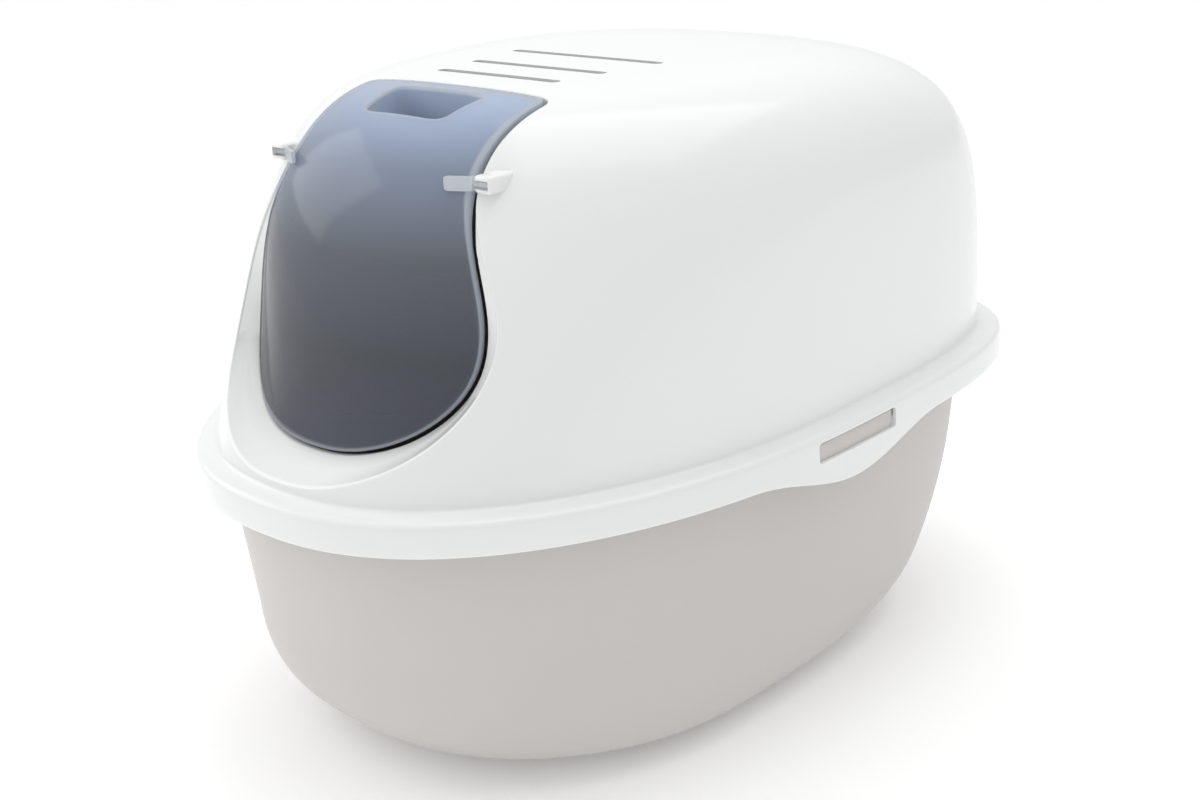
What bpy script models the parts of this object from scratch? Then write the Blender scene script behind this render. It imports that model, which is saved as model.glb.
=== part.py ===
"""Hooded cat litter box: tray, lift-off hood, swinging flap, side latches and roof filter.

Metres, +Z up, front towards -Y, origin on the floor under the middle of the box.
"""
import math

import bmesh
import bpy
from mathutils import Vector

# Overall size
LENGTH = 0.538
WIDTH = 0.401
HEIGHT = 0.384
SEGMENTS = 64

# Plan outline: nearly elliptical front, boxier rear
PLAN_MIDDLE = 0.57
FRONT_POWER = 2.3
BACK_POWER = 4.3
PLAN_TAPER = 0.22

# Hood
WALL = 0.0025
SKIRT_TOP = 0.190
SKIRT_BOTTOM = 0.171
LEDGE = 0.014
DOME_BASE = 0.194
DOME_POWER = 5.6
DOME_CENTRE_Y = -0.03
FRONT_LEAN = 0.37
SIDE_LEAN = 0.0
BACK_LEAN = 0.01
SKIRT_DIP = 0.016
SKIRT_DIP_HALF = 0.09

# Door opening and flap
OPENING_BOTTOM = 0.2055
OPENING_WIDEST = 0.2705
OPENING_HALF = 0.0936
OPENING_NARROWING = 0.0203
OPENING_LOW_POWER = 2.3
OPENING_TOP = 0.367
OPENING_REAR_Y = -0.0975
REVEAL_DEPTH = 0.022
BROW_RISE = 0.028
REVEAL_GROWTH = 0.009
HINGE_Y = -0.1625
HINGE_Z = 0.349
FLAP_GAP = 0.0024
FLAP_THICK_LOW = 0.0017
FLAP_THICK_TOP = 0.0038
PIN_RADIUS = 0.002
PIN_START = 0.0745
PIN_END = 0.0865
POCKET_HALF = 0.035
POCKET_FRONT = -0.1425
POCKET_REAR = -0.1105
POCKET_FLOOR = 0.360
POCKET_WALL = 0.002

# Roof vents: (y, half width)
VENTS = ((0.011, 0.060), (-0.032, 0.053), (-0.066, 0.048))
VENT_WIDTH = 0.005

# Side latches
LATCH_Y = 0.012
WINDOW_HALF = 0.0375
WINDOW_LOW = 0.1735
WINDOW_HIGH = 0.1858
LATCH_INSET = 0.0032
LATCH_THICK = 0.0022
LATCH_GAP = 0.002

# Tray
RIM_TOP = 0.1868
RIM_INSET = 0.0042
FLANGE = 0.0025
TRAY_WALL = 0.003
WALL_INSET = 0.0165
SIDE_RAKE, SIDE_ROUND = 0.06, 0.045
FRONT_RAKE, FRONT_ROUND = 0.11, 0.090
BACK_RAKE, BACK_ROUND = 0.11, 0.120

# Filter under the vents
FILTER_HALF = 0.060
FILTER_FRONT = -0.080
FILTER_BACK = 0.030
HOLDER_TOP = 0.3705
HOLDER_DEPTH = 0.011
HOLDER_WALL = 0.002


def clear_scene():
    for item in list(bpy.data.objects):
        bpy.data.objects.remove(item, do_unlink=True)


def plastic(name, color, roughness, alpha=1.0):
    material = bpy.data.materials.new(name)
    material.use_nodes = True
    shader = material.node_tree.nodes["Principled BSDF"]
    shader.inputs["Base Color"].default_value = (*color, 1.0)
    shader.inputs["Roughness"].default_value = roughness
    shader.inputs["Metallic"].default_value = 0.0
    shader.inputs["Alpha"].default_value = alpha
    material.diffuse_color = (*color, alpha)
    return material


def make_object(name, bm, material=None):
    bmesh.ops.recalc_face_normals(bm, faces=bm.faces)
    mesh = bpy.data.meshes.new(name)
    bm.to_mesh(mesh)
    bm.free()
    if material:
        mesh.materials.append(material)
    mesh.shade_smooth()
    mesh.set_sharp_from_angle(angle=math.radians(35))
    item = bpy.data.objects.new(name, mesh)
    bpy.context.collection.objects.link(item)
    return item


def make_tool(name, bm):
    tool = make_object(name, bm)
    tool.hide_render = True
    tool.display_type = "WIRE"
    return tool


def combine(item, tool, operation):
    modifier = item.modifiers.new(tool.name, "BOOLEAN")
    modifier.operation = operation
    modifier.solver = "EXACT"
    modifier.object = tool


def bridge(bm, ring_a, ring_b):
    count = len(ring_a)
    for i in range(count):
        j = (i + 1) % count
        bm.faces.new((ring_a[i], ring_a[j], ring_b[j], ring_b[i]))


def loft(rings, cap_start=True, cap_end=True):
    """One closed body through rings of equal point count."""
    bm = bmesh.new()
    layers = [[bm.verts.new(point) for point in ring] for ring in rings]
    for below, above in zip(layers, layers[1:]):
        bridge(bm, below, above)
    if cap_start:
        bm.faces.new(list(reversed(layers[0])))
    if cap_end:
        bm.faces.new(layers[-1])
    return bm


def block(low, high):
    bm = bmesh.new()
    bmesh.ops.create_cube(bm, size=1.0)
    for vert in bm.verts:
        vert.co = Vector([a + (c + 0.5) * (b - a) for a, b, c in zip(low, high, vert.co)])
    return bm


def smoothstep(value):
    t = min(max(value, 0.0), 1.0)
    return t * t * (3.0 - 2.0 * t)


def plan_point(angle, half_width, y_front, y_back, back_power):
    """Point on the plan outline in direction angle, 0 along +X and -90 degrees at the front."""
    c, s = math.cos(angle), math.sin(angle)
    middle = y_front + (y_back - y_front) * PLAN_MIDDLE
    depth = middle - y_front if s < 0 else y_back - middle
    power = FRONT_POWER + (back_power - FRONT_POWER) * ((1.0 + s) / 2.0) ** 2
    radius = (abs(c / half_width) ** power + abs(s / depth) ** power) ** (-1.0 / power)
    y = middle + radius * s
    x = radius * c * (1.0 + PLAN_TAPER * (y - middle))
    return x, y


def plan_ring(half_width, y_front, y_back, z, back_power=BACK_POWER):
    ring = []
    for i in range(SEGMENTS):
        x, y = plan_point(math.tau * i / SEGMENTS, half_width, y_front, y_back, back_power)
        ring.append(Vector((x, y, z)))
    return ring


def inset_ring(inset, z):
    return plan_ring(WIDTH / 2 - inset, -LENGTH / 2 + inset, LENGTH / 2 - inset, z)


def dipped(ring):
    """Lower the skirt's edge in a soft bulge under each latch window."""
    for point in ring:
        reach = abs(point.y - LATCH_Y) / SKIRT_DIP_HALF
        if abs(point.x) > WIDTH / 4 and reach < 1.0:
            point.z -= SKIRT_DIP * math.cos(reach * math.pi / 2) ** 2
    return ring


def dome_size(rise, shrink):
    """Half width, front and back of the dome where it has risen by a share of its height."""
    keep = max(1.0 - rise ** DOME_POWER, 0.0) ** (1.0 / DOME_POWER)
    side = WIDTH / 2 - LEDGE - shrink
    front = LENGTH / 2 - LEDGE - shrink + DOME_CENTRE_Y
    back = LENGTH / 2 - LEDGE - shrink - DOME_CENTRE_Y
    return (
        side * (1 - SIDE_LEAN * rise) * keep,
        DOME_CENTRE_Y - front * (1 - FRONT_LEAN * rise) * keep,
        DOME_CENTRE_Y + back * (1 - BACK_LEAN * rise) * keep,
        BACK_POWER - 2.0 * rise ** 2,
    )


def dome_ring(rise, shrink=0.0):
    half_width, y_front, y_back, power = dome_size(rise, shrink)
    z = DOME_BASE + (HEIGHT - shrink - DOME_BASE) * rise
    return plan_ring(half_width, y_front, y_back, z, power)


def dome_rises():
    """Shares of the dome's height, evenly spread along its curved side."""
    steps = 15
    rises = []
    for i in range(1, steps + 1):
        angle = math.radians(86.0) * i / steps
        c, s = math.cos(angle), math.sin(angle)
        rises.append(s / (c ** DOME_POWER + s ** DOME_POWER) ** (1.0 / DOME_POWER))
    return rises


def dome_front_y(x, rise):
    """Where the front of the dome is at a distance x from the middle."""
    half_width, y_front, y_back, power = dome_size(rise, 0.0)
    low, high = math.radians(-90.0), 0.0
    for _ in range(30):
        angle = (low + high) / 2
        if plan_point(angle, half_width, y_front, y_back, power)[0] < abs(x):
            low = angle
        else:
            high = angle
    return plan_point(low, half_width, y_front, y_back, power)[1]


def dome_covers(x, y, rise):
    """Whether the dome's outline at this rise still reaches round the point (x, y)."""
    half_width, y_front, y_back, power = dome_size(rise, 0.0)
    middle = y_front + (y_back - y_front) * PLAN_MIDDLE
    straight_x = x / (1.0 + PLAN_TAPER * (y - middle))
    angle = math.atan2(y - middle, straight_x)
    edge_x, edge_y = plan_point(angle, half_width, y_front, y_back, power)
    edge_x /= 1.0 + PLAN_TAPER * (edge_y - middle)
    return math.hypot(edge_x, edge_y - middle) > math.hypot(straight_x, y - middle)


def roof_z(x, y):
    low, high = 0.0, 0.99999
    for _ in range(32):
        rise = (low + high) / 2
        if dome_covers(x, y, rise):
            low = rise
        else:
            high = rise
    return DOME_BASE + (HEIGHT - DOME_BASE) * low


def rise_at(z):
    return (z - DOME_BASE) / (HEIGHT - DOME_BASE)


def reveal(z):
    """How far the flap lies behind the hood's surface: flush at the hinge, deepest at the bottom."""
    return REVEAL_DEPTH * smoothstep((HINGE_Z - z) / (HINGE_Z - OPENING_BOTTOM))


def opening_half(z, gap=0.0):
    """Half width of the opening, or of the flap a gap inside it, at height z."""
    if z < OPENING_WIDEST:
        share = (OPENING_WIDEST - z) / (OPENING_WIDEST - OPENING_BOTTOM - gap)
        rest = 1.0 - min(share, 0.9995) ** OPENING_LOW_POWER
        return (OPENING_HALF - gap) * rest ** (1.0 / OPENING_LOW_POWER)
    climb = (z - OPENING_WIDEST) / (OPENING_TOP - OPENING_WIDEST)
    return OPENING_HALF - gap - OPENING_NARROWING * smoothstep(climb)


def opening_outline(grow=0.0, top=0.43):
    """Points (x, z) round the door opening, grown outwards, counterclockwise from the front."""
    half = []
    for i in range(15):
        angle = math.radians(90.0) * i / 14
        share = math.cos(angle) ** (2.0 / OPENING_LOW_POWER)
        z = OPENING_WIDEST - (OPENING_WIDEST - OPENING_BOTTOM) * share
        half.append((OPENING_HALF * math.sin(angle) ** (2.0 / OPENING_LOW_POWER), z))
    for i in range(1, 11):
        z = OPENING_WIDEST + (top - OPENING_WIDEST) * i / 10
        half.append((opening_half(z), z))
    grown = []
    for i, (x, z) in enumerate(half):
        before = half[max(i - 1, 0)]
        after = half[min(i + 1, len(half) - 1)]
        dx, dz = after[0] - before[0], after[1] - before[1]
        size = math.hypot(dx, dz)
        amount = grow(z) if callable(grow) else grow
        grown.append((max(x + amount * dz / size, 0.0), z - amount * dx / size))
    grown[0] = (0.0, grown[0][1])
    return grown + [(-x, z) for x, z in reversed(grown[1:])]


def reveal_growth(z):
    return REVEAL_GROWTH * smoothstep((HINGE_Z - 0.004 - z) / 0.08)


def collar_growth(z):
    return reveal_growth(z) + WALL


def door_cutter():
    """Tapering recess through the hood: wide outside, opening outline at the flap, then straight."""
    outer = opening_outline(reveal_growth)
    inner = opening_outline()
    rings = [[], [], [], []]
    for (xo, zo), (xi, zi) in zip(outer, inner):
        low = zi < HINGE_Z - 0.004
        surface = dome_front_y(xo, rise_at(zo)) if low else -0.20
        seat = dome_front_y(xi, rise_at(zi)) + reveal(zi) if low else -0.18
        rings[0].append(Vector((xo, -0.33, zo)))
        rings[1].append(Vector((xo, surface - 0.0008, zo)))
        rings[2].append(Vector((xi, seat, zi)))
        rings[3].append(Vector((xi, OPENING_REAR_Y, zi)))
    return make_tool("door_cutter", loft(rings))


def door_collar():
    """Plug of material behind the recess wall, opened again by the door cutter."""
    top = HINGE_Z - 0.008
    outer = opening_outline(collar_growth, top)
    inner = opening_outline(WALL, top)
    front, back = [], []
    for (xo, zo), (xi, zi) in zip(outer, inner):
        front.append(Vector((xo, dome_front_y(xo, rise_at(zo)) + 0.0012, zo)))
        back.append(Vector((xi, dome_front_y(xi, rise_at(zi)) + reveal(zi) + 0.004, zi)))
    bm = loft([front, back], cap_start=False, cap_end=False)
    bm.verts.ensure_lookup_table()
    count = len(front)
    layers = ((bm.verts[:count], front, 0.008), (bm.verts[count:], back, 0.004))
    for verts, ring, shift in layers:
        middle = sum(ring, Vector()) / count
        hub = bm.verts.new((0.0, middle.y + shift, middle.z))
        for i in range(count):
            bm.faces.new((verts[i], verts[(i + 1) % count], hub))
    return make_tool("door_collar", bm)


def vent_cutter(index, y, half):
    low = (-half, y - VENT_WIDTH / 2, HEIGHT - 0.014)
    high = (half, y + VENT_WIDTH / 2, HEIGHT + 0.01)
    bm = block(low, high)
    upright = [e for e in bm.edges if abs(e.verts[0].co.z - e.verts[1].co.z) > 0.01]
    bmesh.ops.bevel(bm, geom=upright, offset=VENT_WIDTH * 0.45, segments=3, profile=0.5,
                    affect="EDGES", material=-1)
    return make_tool(f"vent_cutter_{index}", bm)


def window_cutter(name, side):
    inner = side * (WIDTH / 2 - LEDGE + 0.003)
    outer = side * (WIDTH / 2 + 0.01)
    low = (min(inner, outer), LATCH_Y - WINDOW_HALF, WINDOW_LOW)
    high = (max(inner, outer), LATCH_Y + WINDOW_HALF, WINDOW_HIGH)
    return make_tool(f"window_cutter_{name}", block(low, high))


def hinge_boss(name, side):
    """Rounded block on the hood that carries the pin's open groove."""
    a, b = side * (PIN_START + 0.0022), side * (PIN_END + 0.002)
    bm = block((min(a, b), HINGE_Y - 0.0035, HINGE_Z - 0.006),
               (max(a, b), HINGE_Y + 0.018, HINGE_Z + 0.006))
    bmesh.ops.bevel(bm, geom=bm.edges[:], offset=0.0022, segments=3, profile=0.5,
                    affect="EDGES", material=-1)
    return make_tool(f"hinge_boss_{name}", bm)


def groove_cutter(name, side):
    a, b = side * (PIN_START - 0.004), side * (PIN_END + 0.0005)
    radius = PIN_RADIUS + 0.0004
    left, right = [], []
    for i in range(13):
        angle = math.radians(-90.0 + 15.0 * i)
        y, z = HINGE_Y + radius * math.cos(angle), HINGE_Z + radius * math.sin(angle)
        left.append(Vector((min(a, b), y, z)))
        right.append(Vector((max(a, b), y, z)))
    for z in (HINGE_Z + radius, HINGE_Z - radius):
        left.append(Vector((min(a, b), HINGE_Y - 0.01, z)))
        right.append(Vector((max(a, b), HINGE_Y - 0.01, z)))
    return make_tool(f"groove_cutter_{name}", loft([left, right]))


def filter_rail(name, side):
    """Rib under the roof that guides one side of the filter holder."""
    middle = side * (FILTER_HALF + 0.0035)
    steps = 6
    rings = []
    for i in range(steps + 1):
        y = FILTER_FRONT + 0.01 + (FILTER_BACK - FILTER_FRONT - 0.02) * i / steps
        top = roof_z(middle, y) - 0.0013
        bottom = HOLDER_TOP - HOLDER_DEPTH + 0.002
        rings.append([Vector((middle + x, y, z)) for x, z in
                      ((-0.0009, bottom), (0.0009, bottom), (0.0009, top), (-0.0009, top))])
    return make_tool(f"filter_rail_{name}", loft(rings))


def build_hood(material):
    rings = [
        dipped(inset_ring(0.0008, SKIRT_BOTTOM)),
        dipped(inset_ring(0.0, SKIRT_BOTTOM + 0.0016)),
        inset_ring(0.0006, SKIRT_TOP - 0.0030),
        inset_ring(0.0016, SKIRT_TOP - 0.0008),
        inset_ring(0.0036, SKIRT_TOP),
        inset_ring(LEDGE - 0.003, SKIRT_TOP + 0.0012),
        inset_ring(LEDGE - 0.0006, SKIRT_TOP + 0.0026),
        inset_ring(LEDGE, DOME_BASE),
    ]
    rises = dome_rises()
    rings += [dome_ring(rise) for rise in rises]
    inner = [
        dipped(inset_ring(WALL, SKIRT_BOTTOM)),
        inset_ring(WALL, SKIRT_TOP - WALL - 0.0006),
        inset_ring(LEDGE + WALL - 0.001, SKIRT_TOP - WALL),
        inset_ring(LEDGE + WALL, DOME_BASE),
    ]
    inner += [dome_ring(rise, WALL) for rise in rises]
    bm = loft(rings, cap_start=False)
    bm_inner = loft(inner, cap_start=False)
    mesh = bpy.data.meshes.new("inner")
    bm_inner.to_mesh(mesh)
    bm_inner.free()
    start = len(bm.verts)
    bm.from_mesh(mesh)
    bpy.data.meshes.remove(mesh)
    bm.verts.ensure_lookup_table()
    outside = [bm.verts[i] for i in range(SEGMENTS)]
    inside = [bm.verts[start + i] for i in range(SEGMENTS)]
    bridge(bm, inside, outside)
    hood = make_object("hood", bm, material)
    combine(hood, door_collar(), "UNION")
    for name, side in (("left", -1), ("right", 1)):
        combine(hood, hinge_boss(name, side), "UNION")
        combine(hood, filter_rail(name, side), "UNION")
    combine(hood, door_cutter(), "DIFFERENCE")
    for name, side in (("left", -1), ("right", 1)):
        combine(hood, groove_cutter(name, side), "DIFFERENCE")
        combine(hood, window_cutter(name, side), "DIFFERENCE")
    for index, (y, half) in enumerate(VENTS):
        combine(hood, vent_cutter(index, y, half), "DIFFERENCE")
    return hood


def tray_size(z, thickness):
    """Half width, front and back of the tray wall at height z above the floor surface."""
    drop = RIM_TOP - z
    sizes = []
    for rake, radius in ((SIDE_RAKE, SIDE_ROUND), (FRONT_RAKE, FRONT_ROUND), (BACK_RAKE, BACK_ROUND)):
        inset = WALL_INSET + thickness + rake * drop
        bend = radius - thickness
        height = z - thickness
        if height < bend:
            inset += bend - math.sqrt(max(bend ** 2 - (bend - height) ** 2, 0.0))
        sizes.append(inset)
    return WIDTH / 2 - sizes[0], -LENGTH / 2 + sizes[1], LENGTH / 2 - sizes[2]


def tray_rings(thickness):
    heights = []
    deepest = BACK_ROUND - thickness
    for i in range(9):
        angle = math.radians(90.0) * i / 8
        heights.append(thickness + deepest * (1.0 - math.cos(angle)))
    heights += [0.13, 0.17]
    return [plan_ring(*tray_size(z, thickness), z, 3.6) for z in heights]


def notch_cutter(name, side):
    """Clearance in the tray's rim for the latch and its press travel."""
    inner = side * (WIDTH / 2 - 0.0132)
    outer = side * (WIDTH / 2 + 0.004)
    low = (min(inner, outer), LATCH_Y - WINDOW_HALF - 0.0015, RIM_TOP - 0.022)
    high = (max(inner, outer), LATCH_Y + WINDOW_HALF + 0.0015, RIM_TOP + 0.01)
    return make_tool(f"notch_cutter_{name}", block(low, high))


def build_tray(material):
    outer = tray_rings(0.0)
    outer += [
        inset_ring(WALL_INSET, RIM_TOP - 0.012),
        inset_ring(WALL_INSET - 0.002, RIM_TOP - FLANGE),
        inset_ring(RIM_INSET + FLANGE, RIM_TOP - FLANGE),
        inset_ring(RIM_INSET + FLANGE, RIM_TOP - 0.008),
        inset_ring(RIM_INSET, RIM_TOP - 0.008),
        inset_ring(RIM_INSET, RIM_TOP - 0.0006),
        inset_ring(RIM_INSET + 0.0006, RIM_TOP),
    ]
    inner = tray_rings(TRAY_WALL)
    inner.append(inset_ring(WALL_INSET + TRAY_WALL, RIM_TOP - 0.012))
    inner.append(inset_ring(WALL_INSET + TRAY_WALL - 0.002, RIM_TOP))
    rings = outer + list(reversed(inner))
    tray = make_object("tray", loft(rings), material)
    for name, side in (("left", -1), ("right", 1)):
        combine(tray, notch_cutter(name, side), "DIFFERENCE")
    return tray


def build_latch(name, side, material):
    """Press tab seen through the skirt's window, on a foot that reaches in to the tray wall."""
    profile = (
        (LATCH_INSET, WINDOW_LOW - 0.001),
        (LATCH_INSET, WINDOW_HIGH - LATCH_GAP - 0.001),
        (LATCH_INSET + 0.0008, WINDOW_HIGH - LATCH_GAP),
        (LATCH_INSET + LATCH_THICK, WINDOW_HIGH - LATCH_GAP),
        (LATCH_INSET + LATCH_THICK, WINDOW_LOW + 0.001),
        (0.0106, WINDOW_LOW + 0.001),
        (0.0106, WINDOW_LOW - 0.001),
    )
    rings = []
    for i in range(9):
        y = LATCH_Y + (WINDOW_HALF - LATCH_GAP) * (i / 4 - 1)
        rings.append([Vector((side * (side_x(y) - inset), y, z)) for inset, z in profile])
    latch = make_object(f"latch_{name}", loft(rings), material)
    return latch


def side_x(y):
    """Half width of the skirt at y."""
    low, high = math.radians(-60.0), math.radians(60.0)
    for _ in range(30):
        angle = (low + high) / 2
        if plan_point(angle, WIDTH / 2, -LENGTH / 2, LENGTH / 2, BACK_POWER)[1] < y:
            low = angle
        else:
            high = angle
    return plan_point(low, WIDTH / 2, -LENGTH / 2, LENGTH / 2, BACK_POWER)[0]


def flap_profile():
    """Middle line of the flap (y, z) with each cross row's direction, level below, upright on the roof."""
    rises = [rise_at(OPENING_BOTTOM + FLAP_GAP + 0.0001)]
    steps = 26
    for i in range(1, 200):
        rise = rises[0] + (0.9999 - rises[0]) * (1.0 - (1.0 - i / 200) ** 2.5)
        rises.append(rise)
    line = []
    for rise in rises:
        z = DOME_BASE + (HEIGHT - DOME_BASE) * rise
        y = dome_front_y(0.0, rise)
        if y > OPENING_REAR_Y - FLAP_GAP:
            break
        line.append((y, z))
    walked = [0.0]
    for a, b in zip(line, line[1:]):
        walked.append(walked[-1] + math.dist(a, b))
    points = []
    for k in range(steps + 1):
        low = min(k / 8, 1.0)
        target = walked[-1] * (0.22 * low ** 2 + 0.78 * max(k - 8, 0) / (steps - 8))
        i = max(j for j in range(len(walked)) if walked[j] <= target + 1e-9)
        i = min(i, len(line) - 2)
        share = (target - walked[i]) / (walked[i + 1] - walked[i])
        middle = Vector(line[i]).lerp(Vector(line[i + 1]), share)
        turn = math.radians(90.0) * smoothstep((middle.y - HINGE_Z) / BROW_RISE)
        points.append((middle, Vector((math.sin(turn), math.cos(turn)))))
    return points


def flap_surface(x, middle, along):
    """Point of the hood's surface at x, on the plane across the profile at its middle point."""
    low, high = 0.0, 0.99999
    for _ in range(32):
        rise = (low + high) / 2
        y = dome_front_y(x, rise)
        z = DOME_BASE + (HEIGHT - DOME_BASE) * rise
        if (y - middle.x) * along.x + (z - middle.y) * along.y < 0.0:
            low = rise
        else:
            high = rise
    return Vector((x, y + reveal(z), z))


def flap_half(middle, along):
    """Half width of the flap's cross row, a gap inside the opening."""
    if middle.y < OPENING_WIDEST:
        return opening_half(middle.y, FLAP_GAP)
    half = OPENING_HALF
    for _ in range(4):
        half = opening_half(flap_surface(half, middle, along).z, FLAP_GAP)
    return half


def build_flap(material):
    columns = 16
    outside = []
    for middle, along in flap_profile():
        half = flap_half(middle, along)
        row = []
        for i in range(columns + 1):
            x = half * math.sin(math.radians(90.0) * (2.0 * i / columns - 1.0))
            row.append(flap_surface(x, middle, along))
        outside.append(row)
    rows = len(outside)
    bm = bmesh.new()
    front = [[bm.verts.new(point) for point in row] for row in outside]
    back = []
    for k, row in enumerate(outside):
        line = []
        thickness = FLAP_THICK_LOW
        thickness += (FLAP_THICK_TOP - FLAP_THICK_LOW) * smoothstep((row[0].z - HINGE_Z + 0.02) / 0.02)
        for i, point in enumerate(row):
            across = row[min(i + 1, columns)] - row[max(i - 1, 0)]
            up = outside[min(k + 1, rows - 1)][i] - outside[max(k - 1, 0)][i]
            line.append(bm.verts.new(point - across.cross(up).normalized() * thickness))
        back.append(line)
    for k in range(rows - 1):
        for i in range(columns):
            bm.faces.new((front[k][i], front[k][i + 1], front[k + 1][i + 1], front[k + 1][i]))
            bm.faces.new((back[k][i + 1], back[k][i], back[k + 1][i], back[k + 1][i + 1]))
    edge_front = front[0] + [row[-1] for row in front[1:]] + front[-1][-2::-1]
    edge_front += [row[0] for row in front[-2:0:-1]]
    edge_back = back[0] + [row[-1] for row in back[1:]] + back[-1][-2::-1]
    edge_back += [row[0] for row in back[-2:0:-1]]
    bridge(bm, edge_back, edge_front)
    flap = make_object("flap", bm, material)
    combine(flap, pocket("pocket_shell", POCKET_WALL, -0.0012), "UNION")
    combine(flap, pocket("pocket_cutter", 0.0, 0.01), "DIFFERENCE")
    return flap


def pocket(name, grow, above):
    """Finger pocket in the flap's roof part, its top following the flap's outer surface."""
    low, high = [], []
    for x_share, y in ((-0.88, POCKET_FRONT), (0.88, POCKET_FRONT), (1.0, POCKET_REAR), (-1.0, POCKET_REAR)):
        x = POCKET_HALF * x_share + math.copysign(grow, x_share)
        shift = -grow if y == POCKET_FRONT else grow
        top = roof_z(x, y + shift) + above
        low.append(Vector((x * 0.86, y + shift * 1.0, POCKET_FLOOR - grow)))
        high.append(Vector((x, y + shift, top)))
    return make_tool(name, loft([low, high]))


def build_pin(name, side, material):
    """Clear tab on the flap's face, with the pin that lies in the hood's groove."""
    bm = bmesh.new()
    bmesh.ops.create_cone(bm, cap_ends=True, segments=20, radius1=PIN_RADIUS, radius2=PIN_RADIUS,
                          depth=PIN_END - PIN_START)
    for vert in bm.verts:
        x = (PIN_START + PIN_END) / 2 + vert.co.z
        vert.co = Vector((side * x, HINGE_Y + vert.co.x, HINGE_Z + vert.co.y))
    pin = make_object(f"flap_pin_{name}", bm, material)
    rings = []
    for x, half in ((PIN_START - 0.013, 0.0032), (PIN_START - 0.0018, 0.0034), (PIN_START + 0.0012, 0.0034)):
        inner = dome_front_y(x, rise_at(HINGE_Z - half)) - 0.0006 if x < PIN_START else HINGE_Y + 0.0011
        outer = inner - 0.0026 if x < PIN_START else HINGE_Y - 0.0030
        corners = ((outer, -half), (outer, half), (inner, half), (inner, -half))
        rings.append([Vector((side * x, y, HINGE_Z + z)) for y, z in corners])
    tab = make_tool(f"tab_{name}", loft(rings))
    combine(pin, tab, "UNION")
    return pin


def build_filter_holder(material):
    """Shallow open frame with bars below, which carries the filter pad under the vents."""
    low = (-FILTER_HALF - 0.0022, FILTER_FRONT, HOLDER_TOP - HOLDER_DEPTH)
    high = (FILTER_HALF + 0.0022, FILTER_BACK, HOLDER_TOP)
    holder = make_object("filter_holder", block(low, high), material)
    inner_low = (low[0] + HOLDER_WALL, low[1] + HOLDER_WALL, low[2] + HOLDER_WALL)
    inner_high = (high[0] - HOLDER_WALL, high[1] - HOLDER_WALL, high[2] + 0.01)
    combine(holder, make_tool("holder_well", block(inner_low, inner_high)), "DIFFERENCE")
    count = 7
    pitch = (inner_high[0] - inner_low[0]) / count
    for i in range(count):
        x = inner_low[0] + pitch * (i + 0.5)
        slot = block((x - pitch * 0.32, inner_low[1] + 0.006, low[2] - 0.01),
                     (x + pitch * 0.32, inner_high[1] - 0.006, inner_low[2] + 0.001))
        combine(holder, make_tool(f"holder_slot_{i}", slot), "DIFFERENCE")
    return holder


def build_filter_pad(material):
    gap = 0.0005
    floor = HOLDER_TOP - HOLDER_DEPTH + HOLDER_WALL
    low = (-FILTER_HALF - 0.0002 + gap, FILTER_FRONT + HOLDER_WALL + gap, floor + gap)
    high = (FILTER_HALF + 0.0002 - gap, FILTER_BACK - HOLDER_WALL - gap, HOLDER_TOP - 0.001)
    return make_object("filter_pad", block(low, high), material)


def main():
    clear_scene()
    white = plastic("white_plastic", (0.86, 0.87, 0.87), 0.28)
    grey = plastic("grey_plastic", (0.62, 0.60, 0.58), 0.40)
    smoke = plastic("smoke_plastic", (0.20, 0.23, 0.27), 0.12, 0.75)
    clear = plastic("clear_plastic", (0.75, 0.79, 0.81), 0.10, 0.6)
    carbon = plastic("carbon_foam", (0.03, 0.03, 0.03), 0.95)
    build_tray(grey)
    build_hood(white)
    build_flap(smoke)
    for name, side in (("left", -1), ("right", 1)):
        build_pin(name, side, clear)
        build_latch(name, side, grey)
    build_filter_holder(white)
    build_filter_pad(carbon)


main()
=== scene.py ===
"""Finished looks of a hooded cat litter box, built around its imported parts. Metres, +Z up, front at -Y."""

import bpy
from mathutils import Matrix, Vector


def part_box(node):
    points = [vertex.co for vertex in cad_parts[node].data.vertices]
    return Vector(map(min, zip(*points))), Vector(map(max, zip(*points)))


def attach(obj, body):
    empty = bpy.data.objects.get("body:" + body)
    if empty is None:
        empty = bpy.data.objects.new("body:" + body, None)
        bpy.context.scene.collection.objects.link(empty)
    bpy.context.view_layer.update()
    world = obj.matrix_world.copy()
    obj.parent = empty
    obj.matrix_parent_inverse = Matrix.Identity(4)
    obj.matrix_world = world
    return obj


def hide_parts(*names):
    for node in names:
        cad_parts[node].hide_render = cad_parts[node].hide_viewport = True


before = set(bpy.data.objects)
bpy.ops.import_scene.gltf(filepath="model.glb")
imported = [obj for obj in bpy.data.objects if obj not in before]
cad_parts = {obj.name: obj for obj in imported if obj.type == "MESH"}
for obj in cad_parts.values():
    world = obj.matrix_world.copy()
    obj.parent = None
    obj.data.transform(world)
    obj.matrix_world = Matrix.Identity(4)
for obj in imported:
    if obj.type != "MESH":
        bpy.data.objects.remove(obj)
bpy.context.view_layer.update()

import math

import bmesh
import bpy
import numpy as np
from mathutils import Matrix, Quaternion, Vector
from mathutils.kdtree import KDTree


# The room: a pale seamless floor, a pale sky that is brightest above and to the left, and two soft lamps.
# None of it is part of the box. The camera stands in front and to the right, a little above the roof.
def aim(thing, place, target, roll=0.0):
    back = (Vector(place) - Vector(target)).normalized()
    thing.location = place
    thing.rotation_mode = "QUATERNION"
    thing.rotation_quaternion = Quaternion(back, roll) @ back.to_track_quat("Z", "Y")


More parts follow.
